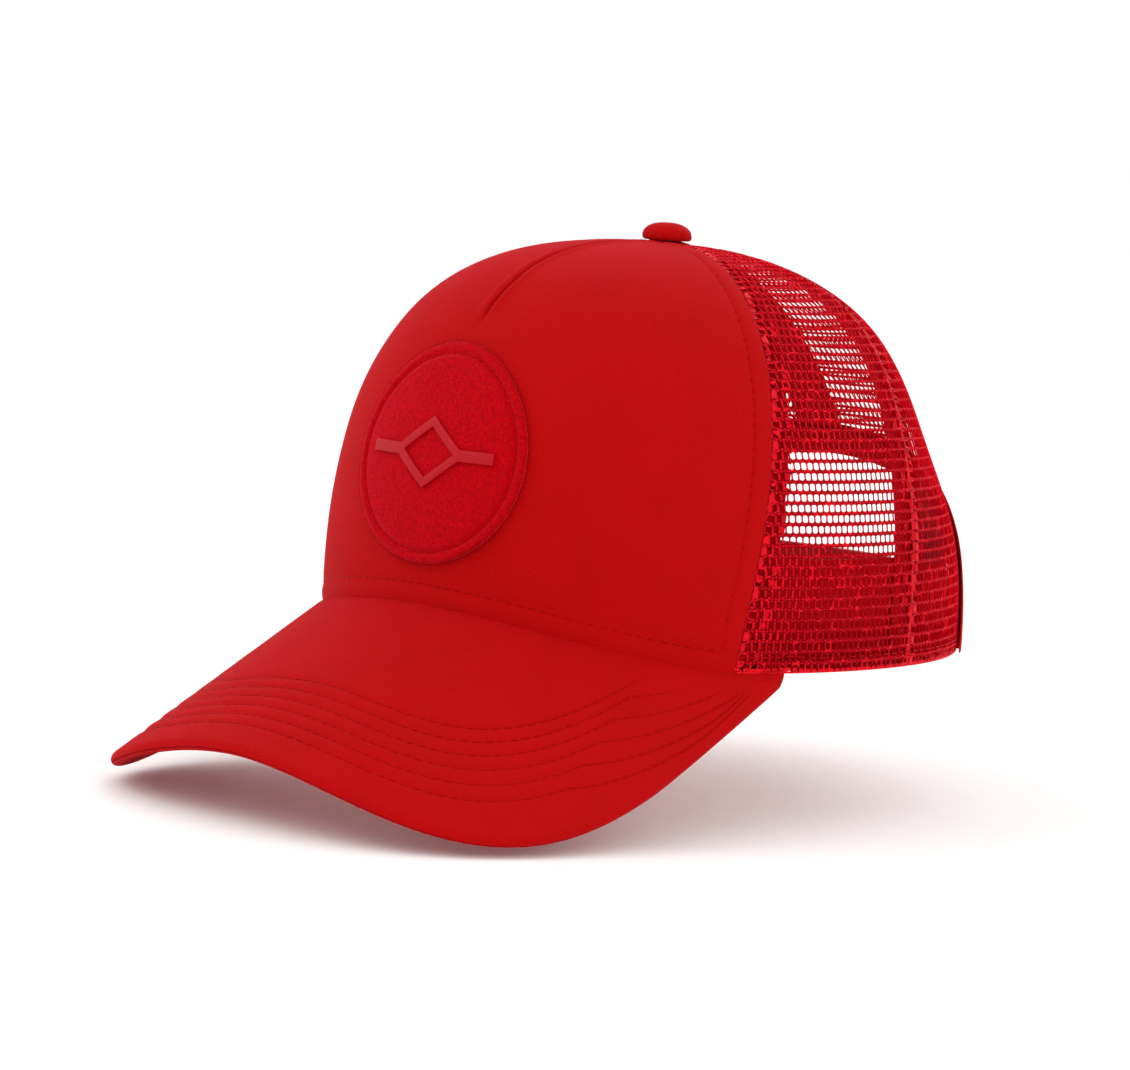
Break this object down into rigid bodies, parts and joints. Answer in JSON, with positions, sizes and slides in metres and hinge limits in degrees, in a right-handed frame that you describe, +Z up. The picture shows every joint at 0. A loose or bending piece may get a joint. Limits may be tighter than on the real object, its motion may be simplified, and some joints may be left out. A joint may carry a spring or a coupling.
{
  "type": "trucker mesh cap",
  "caption": "Trucker cap: stiff twill front with a round felt patch, open mesh sides and back, curved visor, covered top button and a plastic snap strap across the rear arch.",
  "frame": {"origin": "the middle of the head opening, in the plane of the rim behind the visor", "axes": "+Z up through the top button, -Y forwards over the visor, +X to the wearer's left"},
  "size_m": [0.1756, 0.2614, 0.1625],
  "materials": {
    "red_twill": "brushed cotton-polyester twill, matt",
    "red_mesh": "knitted polyester mesh, slight sheen",
    "red_felt": "wool-look felt, fuzzy",
    "red_tape": "woven cotton tape",
    "sweatband_cloth": "cotton twill",
    "buckram": "stiffened open-weave cotton",
    "foam_padding": "thin padding cloth",
    "visor_board": "flexible polyethylene board",
    "black_label": "woven label, plain",
    "steel": "plain",
    "red_plastic": "moulded soft polyethylene, satin"
  },
  "bodies": {
    "crown": {"front_panel": "red_twill", "front_stiffener": "buckram", "mesh_side_left": "red_mesh", "mesh_side_right": "red_mesh", "mesh_back_left": "red_mesh", "mesh_back_right": "red_mesh", "tape_front_left": "red_tape", "tape_front_right": "red_tape", "tape_side_left": "red_tape", "tape_side_right": "red_tape", "tape_back_centre": "red_tape", "arch_binding": "red_tape", "sweatband": "sweatband_cloth", "sweatband_foam": "foam_padding", "woven_label": "black_label", "visor_top_cover": "red_twill", "visor_under_cover": "red_twill", "visor_board": "visor_board", "button_cover": "red_twill", "button_shell": "steel", "button_washer": "steel", "button_post": "steel", "patch_felt": "red_felt", "patch_emblem": "red_felt", "hole_strap_tab": "red_plastic", "peg_strap_tab": "red_plastic"},
    "hole_strap": {"hole_strap": "red_plastic"},
    "peg_strap": {"peg_strap": "red_plastic"}
  },
  "joints": [
    {"name": "hole_strap_swing", "type": "hinge", "parent": "crown", "child": "hole_strap", "pos_m": [-0.0607, 0.06803, 0.012], "axis": [0, 0, 1], "range_deg": [0, 60], "stiffness_Nm_per_rad": 0.02},
    {"name": "peg_strap_swing", "type": "hinge", "parent": "crown", "child": "peg_strap", "pos_m": [0.0607, 0.06803, 0.012], "axis": [0, 0, 1], "range_deg": [0, 35], "stiffness_Nm_per_rad": 0.02}
  ]
}
